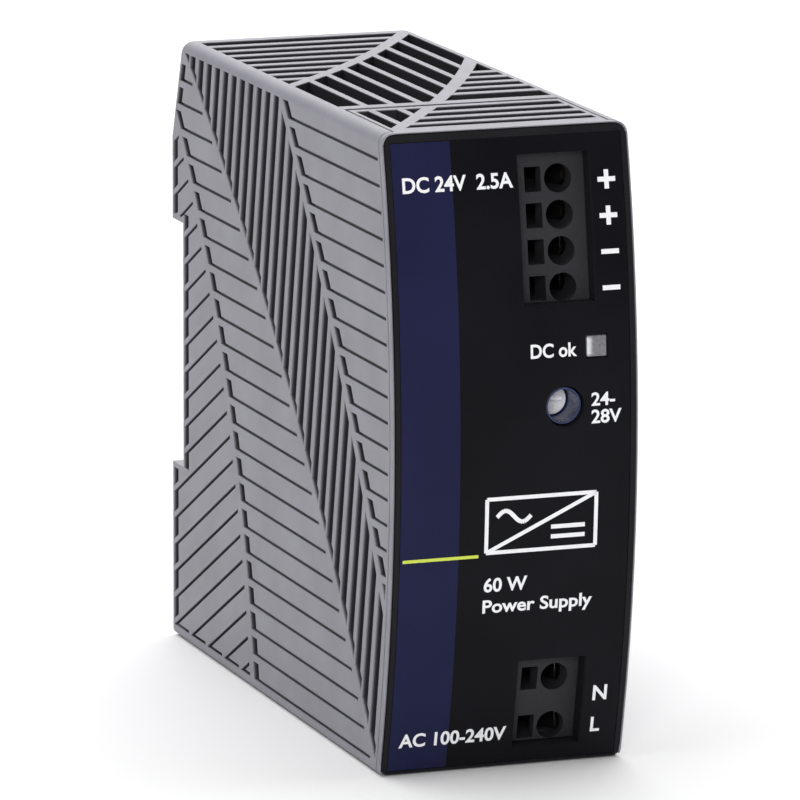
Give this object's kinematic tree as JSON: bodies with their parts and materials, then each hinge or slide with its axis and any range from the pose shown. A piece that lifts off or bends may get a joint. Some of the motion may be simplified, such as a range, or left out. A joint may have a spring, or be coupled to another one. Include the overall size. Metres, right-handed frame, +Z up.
{
  "type": "DIN rail power supply",
  "caption": "Narrow DIN rail power supply: ribbed plastic case, convex black front with spring clamp terminals, lamp and trimmer, rear rail recess with a sprung latch.",
  "frame": {"origin": "middle of the underside of the bounding box", "axes": "+Z up, -Y is the way the front with the terminals faces, +X is to the right as seen from the front; the rail lies along X in the recess at the rear (+Y)"},
  "size_m": [0.036, 0.0956, 0.09],
  "materials": {
    "housing": "fine-grained moulded grey plastic",
    "black_plastic": "satin black moulded plastic",
    "label_foil": "printed foil, satin",
    "terminal_plastic": "dark grey moulded plastic",
    "spring_steel": "bright spring steel",
    "contact_metal": "tinned copper alloy",
    "clear_plastic": "frosted, translucent",
    "blue_plastic": "smooth blue plastic",
    "white_plastic": "light grey plastic",
    "circuit_board": "green lacquered glass fibre",
    "ferrite": "dull dark grey ferrite",
    "winding_tape": "yellow polyester tape over copper",
    "copper_wire": "enamelled copper wire",
    "can_sleeve": "shrink sleeve over an aluminium can",
    "heat_sink_metal": "bare rolled sheet",
    "chip_plastic": "moulded epoxy",
    "film_box": "yellow plastic box",
    "ceramic_coat": "blue dipped coating"
  },
  "bodies": {
    "housing": {"rear_housing": "housing", "front_frame": "housing", "front_cover": "black_plastic", "front_label": "label_foil", "latch_spring": "spring_steel", "output_terminal_block": "terminal_plastic", "input_terminal_block": "terminal_plastic", "lamp_window": "clear_plastic", "status_lamp": "clear_plastic", "trimmer_body": "blue_plastic", "main_board": "circuit_board", "input_fuse": "chip_plastic", "line_choke_core": "ferrite", "line_choke_winding": "copper_wire", "line_capacitor": "film_box", "bridge_rectifier": "chip_plastic", "bulk_capacitor": "can_sleeve", "transformer_core": "ferrite", "transformer_winding": "winding_tape", "heat_sink": "heat_sink_metal", "primary_switch": "chip_plastic", "output_diode": "chip_plastic", "output_capacitor_1": "can_sleeve", "output_capacitor_2": "can_sleeve", "output_choke": "copper_wire", "optocoupler": "chip_plastic", "safety_capacitor": "ceramic_coat", "control_chip": "chip_plastic", "output_contact_1": "contact_metal", "output_contact_2": "contact_metal", "output_contact_3": "contact_metal", "output_contact_4": "contact_metal", "input_contact_1": "contact_metal", "input_contact_2": "contact_metal"},
    "latch": {"rail_latch": "housing"},
    "trimmer": {"trimmer_rotor": "white_plastic"},
    "output_spring_1": {"output_clamp_1": "spring_steel"},
    "output_spring_2": {"output_clamp_2": "spring_steel"},
    "output_spring_3": {"output_clamp_3": "spring_steel"},
    "output_spring_4": {"output_clamp_4": "spring_steel"},
    "input_spring_1": {"input_clamp_1": "spring_steel"},
    "input_spring_2": {"input_clamp_2": "spring_steel"}
  },
  "joints": [
    {"name": "trimmer_turn", "type": "hinge", "parent": "housing", "child": "trimmer", "pos_m": [0.0073, -0.0418, 0.05145], "axis": [0, -1, 0], "range_deg": [-135, 135]},
    {"name": "latch_slide", "type": "slide", "parent": "housing", "child": "latch", "axis": [0, 0, -1], "range_m": [0, 0.0035], "stiffness_N_per_m": 2000, "springref_m": -0.003, "deforming": ["latch_spring"]},
    {"name": "output_spring_1_open", "type": "hinge", "parent": "housing", "child": "output_spring_1", "pos_m": [0.0069, -0.0292, 0.0823], "axis": [0, 0, -1], "range_deg": [0, 20], "stiffness_Nm_per_rad": 0.1, "springref_deg": -14.32},
    {"name": "output_spring_2_open", "type": "hinge", "parent": "housing", "child": "output_spring_2", "pos_m": [0.0069, -0.0292, 0.07735], "axis": [0, 0, -1], "range_deg": [0, 20], "stiffness_Nm_per_rad": 0.1, "springref_deg": -14.32},
    {"name": "output_spring_3_open", "type": "hinge", "parent": "housing", "child": "output_spring_3", "pos_m": [0.0069, -0.0292, 0.0724], "axis": [0, 0, -1], "range_deg": [0, 20], "stiffness_Nm_per_rad": 0.1, "springref_deg": -14.32},
    {"name": "output_spring_4_open", "type": "hinge", "parent": "housing", "child": "output_spring_4", "pos_m": [0.0069, -0.0292, 0.06745], "axis": [0, 0, -1], "range_deg": [0, 20], "stiffness_Nm_per_rad": 0.1, "springref_deg": -14.32},
    {"name": "input_spring_1_open", "type": "hinge", "parent": "housing", "child": "input_spring_1", "pos_m": [0.00665, -0.0292, 0.012], "axis": [0, 0, -1], "range_deg": [0, 20], "stiffness_Nm_per_rad": 0.1, "springref_deg": -14.32},
    {"name": "input_spring_2_open", "type": "hinge", "parent": "housing", "child": "input_spring_2", "pos_m": [0.00665, -0.0292, 0.00475], "axis": [0, 0, -1], "range_deg": [0, 20], "stiffness_Nm_per_rad": 0.1, "springref_deg": -14.32}
  ]
}
